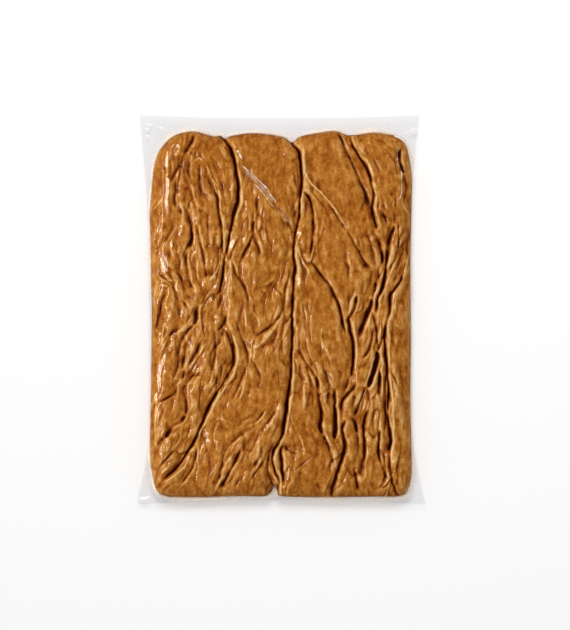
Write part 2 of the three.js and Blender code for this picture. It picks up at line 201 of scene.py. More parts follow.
# Creases of the skin: depth, width, reach of the slope on the west side, points.
CREASES = [
    # the left log
    (3.6,2.2,2, -61.3,123, -62.5,118, -65.5,113.5, -68.7,108.5),
    (2.6,2.4,2, -69.5,109, -71,102, -75,95, -77.6,88), (1.3,1.5,1.5, -60,114, -60.3,105),
    (1.2,1,1.5, -49,107.5, -43.5,100, -41.3,95.5), (3,1.5,2, -51.7,94, -49,86, -46.5,82.5),
    (4.5,1.8,2.5, -48,84.5, -45,78, -43.5,68, -41.8,59, -41.8,47, -41.2,41, -39.9,37.5),
    (2.6,1.2,1.8, -65.2,86, -61.5,78, -58.7,63), (1.2,1.2,1.2, -60.7,91, -59.3,85),
    (1.1,1.4,1.2, -55,80, -54.6,69), (2.8,1.6,1.5, -74,89.5, -73.8,83, -75,77, -72.7,70.5),
    (2.6,1.3,1.2, -70.7,71, -69.5,65), (3.6,1.5,1.8, -68.2,73.5, -65,65.5, -63,57, -62.3,50, -64.2,42.5),
    (3.6,1.4,1.8, -65.8,41.5, -67,34, -65.3,23, -62,15.5),
    (3,1.3,1.8, -59.3,60, -57.5,50, -54.5,37, -52.2,20),
    (1.5,1.5,1.5, -59.7,39, -60.2,31, -58.8,21, -56,16.5), (1.5,1.3,1.5, -71.4,41, -71.7,33, -70.8,25),
    (1.5,1.4,1.2, -78.1,43, -77.8,33), (2.2,2.2,1.5, -74.7,61, -78.5,52.5, -83.4,44.5),
    (1.8,1,1.8, -73.5,26.5, -69.5,20.5, -66,11.5, -62.5,8.3, -59.5,8),
    (2.2,1.2,1.8, -71.4,14, -68.8,6, -63.3,-2.3), (1.5,1,1.5, -83.3,19.5, -76,15.5, -73,13),
    (2.2,1.5,1.8, -79.8,12.5, -83,7, -84.5,-1, -87,-10, -86.5,-14),
    (1.8,1.1,2, -62.8,-2.5, -68,-10, -75,-15, -81.5,-20), (4,1.5,1.5, -67.4,-20.5, -67.2,-30, -69.8,-42),
    (3,1.2,1, -67.7,-41.5, -69.2,-48.5), (3.5,1.5,1, -67.4,-52, -68.5,-56, -68,-60.5),
    (2.2,1,1.2, -67,-59, -65.4,-66, -66.5,-73), (2.5,1.6,1.8, -55.7,-20, -60,-30, -64,-37, -65.6,-43),
    (2.3,1.4,1.8, -60,-43.5, -65.7,-51), (2.6,1.6,2.5, -72,-52, -74.5,-58, -79,-61, -87,-64.7),
    (4,2.5,2, -66.5,-73, -70.5,-78, -75.5,-80.7, -78.5,-85, -81.5,-89), (2,1.1,1.5, -81,-88.5, -88,-94.5),
    (1.8,1.3,1.5, -81.4,-68, -84.3,-75, -86,-82), (1.8,1.2,1.5, -61.5,-81.5, -67,-87.5, -68.8,-92),
    (1.2,1.2,1.2, -72.5,-84, -75.5,-93), (1.5,2,1.5, -74.5,-103.5, -81.5,-107.5),
    # where the left logs meet
    (4,1.8,2, -49.5,15.5, -53.2,10.5, -54.5,5.5, -57.8,2.8),
    (6,2.8,1.5, -57.3,3.3, -59.2,-1, -59.7,-7, -61.3,-11),
    (3.2,1.7,2, -60.8,-10.3, -66,-15, -70.5,-22, -73.2,-34), (1.6,1.2,1.2, -59.4,-11, -60.6,-22),
    (2.5,1.4,1.2, -44.5,11, -49,6.5), (2.2,2.2,1.2, -42.5,14.5, -42,7, -44.2,-1),
    (1.5,1.4,1.5, -46.7,31.5, -49.7,22), (1.6,1.3,0.8, -46.3,23.6, -44.2,25.5),
    (1.4,1,0.8, -51,19.5, -45.8,21.3), (1.4,1,1, -50.4,-10, -51,-15, -50.4,-20),
    (2.8,1.1,1.2, -46.9,-13, -46,-27, -47.5,-38, -47,-42.5), (1.6,1.6,1.5, -48.2,-20.5, -52,-30),
    (3.5,1.7,1, -38.6,-3, -39.5,-8, -42.5,-12.5, -45,-14.3), (1.4,0.8,0.8, -43.8,-14.8, -39,-18.8),
    (2.2,1.6,1.5, -41.3,-37, -42.3,-47, -44.5,-56),
    (2.4,1.3,1.8, -58.7,-97, -60.8,-106, -64,-113, -68.8,-121),
    # the middle log
    (2.4,1,1.2, -2.5,72, 4,63, 9.6,51.5), (1.6,1.4,1.5, -18,79, -16.8,65),
    (2.4,1.3,2, -18.3,63, -19.5,54, -15.8,43.5, -15.8,38), (2,1,1.5, -19.7,51, -25.5,41, -27,35),
    (2.4,1.3,1.2, -15.3,56, -12.4,44.5), (2,1,2, -34,34, -32.5,25.5, -26,16.5, -23.7,7, -22.3,-1),
    (1.7,0.9,1.5, -19,14.5, -10,16.8, -3.5,20.3), (1.8,1,1.5, 8.5,35.7, 4,34, 2,24, -3,16, -1,12.5, 3,7.5),
    (1,1.2,1.5, 0,39, -1.5,26), (1,1.5,1.5, 5.6,21, 4.3,10),
    (2.2,1.6,2, 1,-1, -5.5,-9.7, -13,-15, -18.5,-18.6), (2,1.2,1.2, 2.2,-9, -0.5,-17, -2.7,-24),
    (1.8,1.1,1.5, -28,-19, -23,-31, -17.5,-41, -15,-48, -16.7,-55),
    (2.2,1.3,2, -23.3,-36.5, -30,-53, -34.2,-63), (1.1,1.1,1.2, -14.5,-27.5, -8,-22.5, -4.5,-21.3),
    (2,1.3,1.5, -11.5,-69, -17,-76.5, -27,-82), (1.8,1.3,1.5, -2.5,-68, -8.5,-76.5, -14,-81.3),
    (1.6,2,1.5, -1.3,-77, -8,-92), (1.6,1.1,1.5, -25.5,-85, -36,-93),
    (2.6,1.6,2, -12.8,-94, -16.5,-104, -23.5,-114.5), (3,1.6,1, -12.6,-104.5, -17,-112, -19.7,-119),
    (1.4,1.6,1.5, -25.5,-114.5, -34.5,-124), (5,2,1.5, -27.3,-95, -31.5,-103, -36,-112.5, -43.3,-126),
    (3.2,1.2,1, -41.7,-113, -46.3,-123), (1.3,1.3,1.2, -36,-100.5, -44.5,-113.5),
    # the right log, upper half
    (3.4,1.3,2, 38.5,124, 43,117, 47.5,105.5, 52,95, 58,83, 62,72.5),
    (5,1.7,2.2, 47.5,123, 49,116, 54,106.5, 58.2,100.8, 62,91, 64.3,81, 63.5,71, 66.4,54),
    (1.8,1,2, 68.5,120, 74,114.5, 79.5,110.5), (1,1,2, 63.5,107, 69,96.5),
    (4.5,2.5,1.5, 83,113.5, 82.6,104, 85.5,94), (2.5,2.2,1.5, 85,95, 86.5,85, 85.3,74.5),
    (2.4,1.3,2, 68.3,70, 72,65, 74,57), (1.2,1.5,2, 79,70, 79,59), (1.2,1.5,2, 70.7,81, 71.5,70),
    (4.5,1.8,2, 15,82.5, 19,77.5, 21.5,69, 22,57, 20.2,34.5), (1.2,0.8,1, 14.5,80.5, 17.3,77.5),
    (4,1.4,2, 20.4,34.8, 27.5,24, 34,15, 40,1, 45.3,-18),
    (3,1.1,2.5, 32,74, 37,68.5, 46,55, 52,44.5, 57.5,34.5, 62,29), (1.8,1.3,1.5, 60.5,53, 65.5,33.5),
    (5.5,2,1.5, 65.2,50.5, 69,43.5, 70.8,33, 70.5,30.5),
    (6.5,2,1.8, 79.3,60, 75.5,50, 73.8,40, 72.8,26, 70,14, 67,7, 66.8,-3), (2.5,1,1, 68.3,30.5, 68.2,21.5),
    (6,1.7,2, 67,21, 63.2,7), (7,3,2, 63.5,9, 61.3,0, 53.3,-18.5), (5.5,2.3,2, 52.8,10, 50.5,1, 47.8,-7),
    (1.5,1.2,1.5, 46.3,34, 46.3,21), (2.2,1.2,1.5, 86,45, 82,33.5, 79.3,27),
    # the right log, lower half
    (6,2,1.5, 48,-2, 47,-9, 50,-25, 49.3,-38, 48.2,-46.5), (1.6,1,1.5, 46.2,-23, 47.4,-34),
    (3.5,1.3,1.5, 47.2,-43.5, 44.2,-58), (3.5,1,1.2, 62.8,1, 66,-11, 67,-27),
    (3,2.2,1.5, 64.3,-12, 61.5,-25, 58.8,-31, 55,-34), (6.5,2.8,1, 66.8,-28, 66.3,-36, 59.8,-55),
    (5.5,2.6,0.8, 68.3,-42, 68,-62), (4.5,1.2,1, 71.8,-15, 66.8,-30.5), (5,2,1.5, 58,-52, 56,-61.5, 50.3,-74),
    (2,0.8,1, 58.8,-52.5, 61.6,-65), (4,1.7,2, 52,-50.5, 48,-57, 42.5,-63, 41.8,-71),
    (7,2.7,0.8, 36.8,-54, 37.8,-78, 36.7,-91), (1.8,1.1,1.5, 65.6,-59, 64.3,-70, 64.5,-80),
    (1.5,1.2,1, 86,-45, 88,-54), (3,1,2.5, 10.8,-27, 15,-33, 20,-41, 24.5,-48),
    (6,2.4,2.5, 23.5,-46, 25.5,-52, 26.3,-63, 28.3,-73, 27.5,-81, 29,-87),
    (4,1.3,1.5, 28,-84.5, 32,-95, 36.8,-110), (1.4,1.2,1, 36.6,-90, 34.9,-102),
    (1.8,1.4,1, 38.8,-88, 40.2,-96, 39.4,-102),
    (5.5,2.2,1.5, 45.3,-76, 42,-83, 43.8,-93, 41.5,-106, 36,-122, 34.4,-131),
    (5,2.3,1, 48.8,-74, 51,-79, 53,-86), (5,1.9,1.5, 60.3,-69, 57.5,-79, 58,-98, 56.3,-113),
    (3.2,1.6,1.2, 53,-110, 50.8,-113, 54,-128), (4,1.6,1.2, 69.2,-82, 67.5,-96, 70,-109),
    (2.6,2,1, 69.5,-107, 72,-115, 70,-121), (3.5,1.3,0.8, 69.8,-124.5, 74,-121, 75.8,-116),
    (4,1,1, 72.6,-64, 72.4,-88), (1,1.5,2, 62,-78, 61.5,-86), (1.2,1.2,1.5, 35,-32, 36.5,-47),
    (2,0.9,1.2, 26.5,-43.5, 30.5,-47.5, 33.2,-52), (1,1.2,1.5, 27.5,-23, 28,-34),
    (1.4,1,1, 12.5,-90, 14.5,-95.5, 12.5,-99), (1.5,1,2, 20.5,-102, 14.5,-107.5, 8,-112.5),
    (1,2,1, 25,-119, 26.5,-126), (4.5,1.6,1, 0.5,-94, -0.5,-101, 2.1,-124),
    (4.5,1.3,1.1, -3,-95, -6.5,-101, -6.3,-108, -1,-122.5),
]
# Crests, which are narrow raised folds: height, half width, points.
CRESTS = [
    # the left log
    (0.9,0.6, -61,103, -57,105.7, -52.5,100, -48.5,91, -43.8,84.5, -42,70),
    (0.6,0.8, -67.5,96, -64,90.5, -59.7,76.5, -57,61), (0.6,0.8, -72.7,81, -69.5,70, -67.3,61),
    (0.6,0.7, -68,74, -63.7,65), (0.4,1.3, -61.5,118, -65,108, -66.7,103),
    (0.6,0.7, -81.3,81.5, -84.5,76, -90,69.5), (0.6,0.7, -84,66.5, -88,52), (0.5,0.6, -84.5,66.3, -80,60.5),
    (0.8,0.8, -80,112, -80.3,102, -79.5,90), (0.4,1.3, -34,99, -34.5,82, -38.2,64),
    (0.5,0.8, -80,58, -85.2,46), (0.6,0.7, -85.3,51, -86,45, -84,39.5), (0.4,1.4, -69.8,42, -69.8,25),
    (0.5,1.2, -63.3,43, -65.3,35, -62,19.5), (0.8,0.6, -60,57, -62,41.5), (0.6,0.7, -55.3,53, -54.8,41),
    (0.5,0.7, -52.6,43, -50.3,27), (0.7,0.6, -58.6,36, -57.8,21), (0.5,0.5, -78,26.5, -71,21, -67,15.5),
    (0.6,0.5, -85.5,21, -77,20, -72.8,21), (0.6,0.5, -72.8,21.3, -73.8,14.5),
    (0.6,0.5, -83.2,18.2, -77,15, -75,8, -77.2,-6), (0.6,0.5, -82.3,12, -77.8,14.5),
    (0.8,0.6, -70.5,15.7, -69,8, -67.2,4.5), (0.4,1, -86.5,20, -89,8, -86.5,-3),
    (0.8,0.7, -81.5,-7.5, -84,-24.5), (0.8,0.6, -79.8,-20.7, -83.7,-27.5), (0.7,0.6, -77.5,0, -77.5,-6.5),
    (0.8,0.7, -75.2,-21, -75.7,-33.5), (0.9,0.6, -66.6,-17, -66,-23.5), (0.6,0.6, -64.5,-20.5, -64.4,-24.5),
    (0.8,0.8, -53.6,-16.5, -53.5,-24, -59,-33, -65.2,-43.5),
    (0.6,1.6, -57.5,-4, -56.3,-14, -61.5,-26, -64,-34), (0.8,0.7, -56,-39.7, -64.3,-50.5),
    (0.6,0.7, -69.7,-48.7, -74.3,-54.5), (0.6,0.6, -64.5,-57.5, -65,-67.5),
    (0.5,1.5, -71.5,-15.5, -63.5,-10, -61.3,-3), (0.6,0.8, -64,-86.5, -67.5,-92, -71.2,-102.5),
    (0.8,0.7, -75.2,-84.5, -83,-93, -86.2,-102), (0.5,1, -69,-80.5, -71,-90, -77.3,-98.5),
    (0.6,0.6, -79.3,-93.5, -80.6,-99.5), (0.7,0.6, -79.8,-100.5, -82.3,-105.5),
    (0.8,0.9, -86.5,-57, -88,-74, -88.2,-95), (0.4,1.4, -57.3,-69.5, -57.3,-79),
    # where the left logs meet
    (0.6,0.6, -40.9,61, -41,38.5), (0.5,1, -26.5,96, -26.5,80, -29.7,66.5),
    (0.5,1, -29.7,75, -34,55, -38.3,41), (0.4,1, -38.5,13.5, -35.5,4, -38.5,-12),
    (0.6,1, -45.2,-33.5, -46.5,-41.5), (0.4,1.3, -48,-11, -42,-6, -40,2), (0.6,0.5, -40.3,-9, -42.7,-15.5),
    (1,0.9, -34.7,-16, -30.5,-29, -33,-43, -45,-63, -53,-78, -58,-88),
    (0.8,0.8, -63,-95.5, -67,-107.5, -76,-116, -83.5,-121),
    (0.7,0.8, -57.5,-95.5, -59,-105, -65,-116.5, -71.5,-125.3), (0.4,1.5, -45,-89.5, -44.5,-100),
    (0.4,1.5, -54,-89.5, -53,-96.5), (0.5,0.6, -48,-78, -42,-75, -33.5,-79.7),
    # the middle log
    (0.6,0.7, -13.3,77.5, -14.3,63.5), (0.6,0.8, -12,66, -11,45.5), (0.6,0.6, -20.2,50.5, -21.7,46),
    (0.6,0.7, -18.2,49.5, -13.7,41.5, -14.6,32.5), (0.4,1, -23.5,56, -25.3,45.5),
    (0.6,0.7, -27,42.5, -28.2,38.5), (0.7,0.8, -33.4,35.5, -30.8,26),
    (0.6,0.8, -22.2,11.5, -20,4, -21.2,-1.5), (0.5,0.7, -12.3,13.5, -9.8,14), (0.6,0.6, -6.7,13, -5,5),
    (0.9,0.7, -25.4,1.5, -23.7,-12), (0.5,1, -19.7,-0.5, -15.3,-9, -15.3,-16.5),
    (0.8,1.6, -20.7,-26, -16,-25.3, -8,-16.5, 0,-5), (0.6,0.9, -18,-27.5, -19.1,-34.5),
    (0.5,0.8, -16.6,-21.5, -17.3,-25), (0.5,1.5, -6.4,-1, -8.1,-8.5), (0.5,1.2, 3.2,-13, -1.8,-26.5),
    (0.5,0.9, -30.7,-13.5, -26.8,-22.5), (0.6,1.1, -26.5,-48.5, -27,-57, -31.3,-65.5),
    (0.7,0.8, -10.3,-69.5, -16,-77.5, -19.8,-79.7), (0.6,1.8, -1,-66.5, -6,-77, -15,-90, -16,-101),
    (0.4,1.2, -28.5,-79.3, -20.5,-75.7), (0.7,0.8, -12.3,-100.5, -21.8,-117.7),
    (0.8,1, -27,-87, -33,-94, -35.3,-98.5), (0.8,0.9, -32,-96.5, -37.2,-106),
    (0.6,0.7, -41,-115.5, -46.2,-125.5), (0.7,0.8, -35.8,-115.5, -45.3,-128.5),
    # the right log, upper half
    (1.3,0.6, 15,112.5, 16,102, 19.5,89.5, 28,81, 35.5,72.5, 40,66),
    (0.6,0.7, 22.3,79.2, 24.7,74, 24.5,55, 24.3,37), (0.8,1.2, 11.3,55.5, 12.8,52.5, 12,48),
    (1,0.8, 11.8,45, 14,36.5, 20.3,25), (0.5,0.9, 11.7,34, 11,13), (0.7,0.6, 12.6,19.5, 16,3, 19.7,-10),
    (0.5,0.8, 14.6,8, 14.2,-3), (0.6,1, 26.3,31.5, 28.2,26), (0.5,0.8, 46.6,63, 46.8,55),
    (0.5,0.7, 42.6,57, 45.5,53), (0.5,0.8, 52,99.5, 55.2,92), (0.7,0.7, 48.8,113.5, 56.7,100),
    (0.5,0.9, 52.3,115.5, 60.5,103, 64.7,93.5), (0.5,0.9, 66.6,84.5, 69,74, 67.3,69.7),
    (0.5,0.6, 60.2,86.5, 61.2,77.5), (0.7,0.5, 79,75.8, 77.4,73, 79.3,71.3), (0.6,0.6, 83.7,75.7, 89.3,66.5),
    (0.5,0.9, 77.7,68.7, 77.3,58.5), (0.8,1.1, 67.2,54, 68.7,50.5), (0.5,0.9, 64.4,46.5, 67,35),
    (0.6,0.5, 68.4,40.5, 68.7,32.3), (0.6,0.9, 76.9,47.5, 74.7,26.5), (0.5,0.8, 81.1,51, 80.7,45),
    (0.6,0.5, 78.5,39, 80.8,43.5), (0.7,0.7, 70.1,29.5, 70.8,22, 67.3,11.5), (0.5,1, 52,15.5, 46.7,-4.5),
    (0.6,0.8, 46.3,41, 48.5,26), (0.5,0.9, 83.6,33.5, 79.3,21.5), (0.6,0.9, 79.6,10.5, 79,0, 80.7,-3.5),
    (0.5,0.6, 35.3,7.5, 39.3,-5),
    # the right log, lower half
    (0.7,0.9, 9.3,-2, 11,-25.5), (0.8,0.8, 8.3,-27.5, 8.3,-44, 7.4,-63), (0.6,1, 16,-11.5, 16.6,-23.5),
    (0.8,0.8, 28,-10.5, 28.5,-22, 33.5,-32, 36.6,-46), (0.5,1.8, 15,-50.5, 16,-60, 14.9,-69),
    (0.9,0.7, 29.2,-60.3, 34.5,-55.7), (0.7,0.7, 32.7,-49.2, 36.2,-53.5),
    (0.5,0.9, 12,-28, 20,-39.5, 28.7,-50.5), (0.6,1, 5.6,-65, 4.8,-79),
    (0.5,1.1, 3.8,-87, 1.9,-103, 3.9,-118), (0.6,0.9, 11.4,-85.5, 16,-97, 14.3,-103.3),
    (0.4,1.2, 27.5,-96, 25.3,-111), (0.7,0.6, 30.3,-83.5, 33.5,-95, 34.1,-102),
    (0.9,1, -2.6,-96, -4,-102, 0.3,-119), (0.6,0.8, 45,0, 46.6,-12.7),
    (0.7,0.9, 49.8,-7.5, 52.5,-25, 51,-42.5), (0.5,0.5, 46.6,-13, 49,-30, 46.9,-47.5),
    (0.9,0.9, 65.2,-32, 60,-47, 56.5,-57, 52.3,-66.5), (0.7,1, 69.5,-4, 69,-14, 67.4,-21.5),
    (0.5,0.6, 70.6,-14.5, 68.3,-23.5), (0.8,0.8, 69,-23.5, 70.5,-37, 69.5,-44, 71.4,-63),
    (0.9,0.6, 75.1,-16, 75.3,-43, 78.6,-75, 76,-105), (0.8,0.9, 38.7,-56, 38.6,-68, 41.5,-86, 42,-96),
    (0.5,0.8, 47.6,-75, 52,-86.5), (0.6,0.6, 58.6,-79.5, 59,-90.5), (0.6,0.7, 57.8,-111, 59,-114, 55.8,-120),
    (0.6,0.7, 53.6,-112.5, 55.6,-121.5), (0.9,0.6, 73.8,-112, 74,-118, 70.3,-123.3),
    (0.6,0.5, 73,-79.5, 73.2,-89), (0.5,0.7, 36.2,-123.5, 35.3,-130),
    # the edge log
    (0.8,0.6, 80.5,-1, 81.8,-6), (0.7,0.6, 79.3,-6, 80,-10, 83.5,-14.5), (0.7,0.7, 76.5,-9, 76.7,-15.5),
    (0.7,0.8, 85.3,-55, 87.8,-65), (0.5,0.7, 82,-70, 84.5,-86), (0.5,0.8, 88.3,-104, 87.8,-116),
    (0.5,0.8, 85,-30, 84.7,-45), (0.5,0.6, 77.5,-119.5, 79.3,-124, 82,-128.5),
]
# Flats, where the skin is pressed into a facet that faces up and west: half width, points.
FLATS = [
    (0.8, -80,111, -80,107, -80.3,103, -80,100, -79.5,96),
    (1.5, -79.5,96, -79.5,84, -80,78, -80,72, -79,67, -77.5,64, -78,60),
    (2.7, -82.5,42, -82.3,36, -81.5,30, -81.3,23), (1, -77,51, -77,45, -76,40, -75,34),
    (1.5, -47.5,11, -49.5,7, -52,4.5), (1.2, -45,21, -47,14, -48,11), (0.7, -39.2,28, -38.7,21, -38.5,14),
    (1.6, -31,53, -33.5,48, -35.5,44, -37.5,40),
    (1.1, -81.5,-27, -81.5,-32, -83,-35, -84.5,-40, -85.5,-45, -85,-50, -86,-56),
    (0.8, -86,-55, -87.5,-60, -87.5,-66), (1.2, -19,27, -19.5,23, -19,19, -19.6,14), (1.4, 11.8,56, 12.8,51),
    (1.1, 11.4,26, 12,20, 11.4,14),
]
# Folds in the film alone, each with a painted highlight along its top: height, half width, whiteness, points.
PINCHES = [
    (0.5,0.8,1.0, -32,112, -30,110, -28.5,107, -27.3,104.5),
    (0.5,0.45,1.0, -27.5,103, -27,100.5, -25,98.5, -22,96, -18,92.5, -14,88.5, -11,85.5, -9.5,83.5,
     -7.5,80, -5.5,77.5, -3,74),
    (0.4,0.35,0.8, -19.5,88, -16,85, -13.5,82, -11,79, -9,76, -7,73.5, -4,70.5),
    (0.05,2.2,0.16, -26,98, -22,94, -17,89.5, -12.5,84.5, -9,79.5, -5,74),
    (0.3,0.4,0.4, -3,74, -1,70.5, 1,67.5, 3.5,63.5, 6,60), (0.2,0.4,0.5, 1,107.5, 2.3,109.5),
    (0.2,0.4,0.5, 5.8,113.8, 6.8,116),
    (0.4,0.4,0.6, 82.2,114.5, 81.3,110, 80.8,106, 81.5,101, 83.3,98, 83.7,93, 84,87, 83.5,81, 82,77,
     79.7,75.8),
    (0.4,0.7,0.6, -97,131.3, -90,129.8), (0.4,0.7,0.65, -88,129.3, -82,127),
    (0.4,0.7,0.45, -97,127.9, -92,127), (0.4,0.7,0.5, -95.8,122.7, -92,122),
    (0.4,0.6,0.5, -88,132.4, -84,132.4), (0.4,0.6,0.5, 72.5,133.8, 76,133.3),
    (0.4,0.9,0.9, 97.5,127.2, 92,126.5, 87.7,124.6, 84,121.6),
    (0.4,0.8,0.8, -100.8,-132.6, -95,-132, -91.5,-129.8), (0.4,0.5,0.7, -12,-130.8, -7.5,-128.4, -5,-124),
    (0.4,0.5,0.7, -4.6,-123, -3.2,-127.5, -1.5,-131),
]
# Patches where the skin is a little darker or paler: (x, y, radius, amount).
PATCHES = [
    (-62, 100, 24, -0.09), (-15, 90, 25, -0.02), (30, -85, 26, -0.06), (70, -60, 24, -0.05),
    (84, 5, 16, 0.09), (85, -65, 26, 0.1), (60, 60, 20, -0.06), (-20, -20, 30, 0.02),
]
# Creases in the weld that run round the food, each with a painted highlight: (distance from the food, half
# width, whiteness, the y beyond which they run).
WELD_CREASES = [(0.9, 0.9, 1.0, 0), (2.3, 1.6, 0.22, 100)]

# ---- Lines and fields


def smooth_line(numbers, steps, columns=2):
    """A Catmull-Rom curve through points in rows of x, y and so on, with so many steps to a point."""
    p = np.reshape(numbers, (-1, columns)).astype(float)
    p = np.vstack([2 * p[0] - p[1], p, 2 * p[-1] - p[-2]])
    t = np.linspace(0, 1, steps, endpoint=False)[:, None]
    spans = []
    for a, b, c, d in zip(p, p[1:], p[2:], p[3:]):
        cubic = -a + 3 * b - 3 * c + d
        square = 2 * a - 5 * b + 4 * c - d
        spans.append(0.5 * (2 * b + (c - a) * t + square * t**2 + cubic * t**3))
    return np.vstack(spans + [p[-2][None]])


def to_line(line, x, y):
    """Signed distance to a line, positive on its left, and the place along it counted in points."""
    best = np.full(x.shape, np.inf)
    side = np.zeros(x.shape)
    along = np.zeros(x.shape)
    for i, (a, b) in enumerate(zip(line, line[1:])):
        d = b - a
        t = np.clip(((x - a[0]) * d[0] + (y - a[1]) * d[1]) / (d @ d), 0, 1)
        gap = np.hypot(x - a[0] - t * d[0], y - a[1] - t * d[1])
        closer = gap < best
        best = np.where(closer, gap, best)
        side = np.where(closer, np.sign(d[0] * (y - a[1]) - d[1] * (x - a[0])), side)
        along = np.where(closer, i + t, along)
    return best * side, along


def x_at(line, y):
    """Where a line that runs down the pouch crosses each height."""
    order = np.argsort(line[:, 1])
    return np.interp(y, line[order, 1], line[order, 0])


def y_at(line, x):
    """Where a line that runs across the pouch passes each x."""
    return x_at(line[:, ::-1], x)


def smoothstep(value, low, high):
    """From 0 at low to 1 at high, level at both ends."""
    t = np.clip((value - low) / (high - low), 0, 1)
    return t * t * (3 - 2 * t)


def blurred(field, radius, stretch=1.0):
    """The field smoothed by a Gaussian of that radius in mm, stretched along Y."""
    fy = np.fft.fftfreq(field.shape[0], STEP)[:, None] * stretch
    fx = np.fft.rfftfreq(field.shape[1], STEP)[None]
    window = np.exp(-2 * (np.pi * radius) ** 2 * (fx**2 + fy**2))
    return np.fft.irfft2(np.fft.rfft2(field) * window, field.shape)


def even(field):
    """The field shifted and scaled to a mean of 0 and a spread of 1."""
    return (field - field.mean()) / field.std()


def noise(size, stretch=1.0):
    """Smooth noise of unit spread with lumps of about that size in mm, stretched along Y."""
    return even(blurred(rng.standard_normal(X.shape), size / 4, stretch))


def cell(x, y, edge):
    """The grid cell that each place is in, at least so many cells inside, and where in the cell."""
    u = np.clip((x - XS[0]) / STEP, edge, len(XS) - edge - 1.001)
    v = np.clip((y - YS[0]) / STEP, edge, len(YS) - edge - 1.001)
    i, j = u.astype(int), v.astype(int)
    return i, j, u - i, v - j


def sample(field, x, y):
    """The field's value at any places, from the four grid points round each."""
    i, j, u, v = cell(x, y, 0)
    low = field[j, i] * (1 - u) + field[j, i + 1] * u
    high = field[j + 1, i] * (1 - u) + field[j + 1, i + 1] * u
    return low * (1 - v) + high * v


def cubic_weights(t):
    """How much each of four points in a row counts at a place between the middle two."""
    return (
        (2 * t**2 - t - t**3) / 2,
        (2 - 5 * t**2 + 3 * t**3) / 2,
        (t + 4 * t**2 - 3 * t**3) / 2,
        (t**3 - t**2) / 2,
    )


def sample_smoothly(field, x, y):
    """The field's value at any places, by a smooth cubic through the sixteen points round each."""
    i, j, u, v = cell(x, y, 1)
    total = 0
    for row, row_weight in enumerate(cubic_weights(v)):
        for column, column_weight in enumerate(cubic_weights(u)):
            total = total + row_weight * column_weight * field[j + row - 1, i + column - 1]
    return total


# ---- Plan of the food and the film

left_line, right_line, top_line, bottom_line = [
    smooth_line(side, OUTLINE_STEPS) for side in (BODY_LEFT, BODY_RIGHT, BODY_TOP, BODY_BOTTOM)
]
right_upwards, top_leftwards = [
    smooth_line(np.reshape(side, (-1, 2))[::-1], OUTLINE_STEPS) for side in (BODY_RIGHT, BODY_TOP)
]
seam_lines = [smooth_line(seam, OUTLINE_STEPS, 4) for seam in SEAMS]
body_outline = np.vstack([bottom_line[:-1], right_upwards[:-1], top_leftwards[:-1], left_line])
# Distance inside the food's outline, which runs anticlockwise, negative outside it
INSIDE = to_line(body_outline, X, Y)[0]


def flare(y, start, end, reach, power):
    """How far the film stands out along a side: nothing at the start, all of the reach at the end."""
    return reach * np.clip((y - start) / (end - start), 0, 1) ** power


def pouch_left(y):
    """The film's left edge, which flares out to both corners."""
    return -92.8 - flare(y, 45, 136.5, 7.2, 1.4) - flare(y, -82, -131, 8.2, 1.7)


def pouch_right(y):
    """The film's right edge."""
    return 91.8 + flare(y, 70, 136.5, 5.5, 2) + flare(y, -78, -135, 9.2, 1.7)


def pouch_top(x):
    """The film's upper edge, which is drawn in between the corners."""
    return 134.6 + 2.7 * (np.abs(x) / CORNER_X) ** 2.5


def pouch_bottom(x):
    """The film's lower edge."""
    return -133.4 - 3.1 * (np.abs(x) / CORNER_X) ** 2


# ---- The food's surface


def window_round(points, reach):
    """The part of the grid within reach of some points, as a slice of rows and one of columns."""
    low, high = points.min(axis=0) - reach, points.max(axis=0) + reach
    first = np.maximum(((low - GRID_CORNER) / STEP).astype(int), 0)
    last = ((high - GRID_CORNER) / STEP).astype(int) + 2
    return slice(first[1], last[1]), slice(first[0], last[0])


def crease(distance, depth, width, slope, lip):
    """A crease, seen across a line that runs down the pouch.

    From the west the skin slopes down to it, ever steeper. East of it the skin turns straight up to
    a thin lip, which dies away beyond.
    """
    past_core = np.clip(np.abs(distance) - np.clip(width - CORE, 0, None) / 2, 0, None)
    narrow = np.exp(-past_core / STEEP_REACH)
    sloping = -depth * (STEEP_SHARE * narrow + (1 - STEEP_SHARE) * np.exp(-past_core / (1.2 * slope + 1)))
    wall = lip * np.exp(-past_core / LIP_REACH) - (depth + lip) * np.exp(-((past_core / WALL_REACH) ** 1.2))
    return np.where(distance < 0, sloping, wall)


def ends_taper(line):
    """How much of a fold there is at each point of its line: less at both ends."""
    walked = np.concatenate([[0], np.cumsum(np.hypot(*np.diff(line, axis=0).T))])
    return np.sqrt(np.clip(np.minimum(walked, walked[-1] - walked) / min(TAPER, walked[-1] / 3), 0, 1))


def wandering(places):
    """The places shifted a little here and there, which makes drawn lines less even."""
    return places + 0.2 * noise(22) + 0.13 * noise(6)


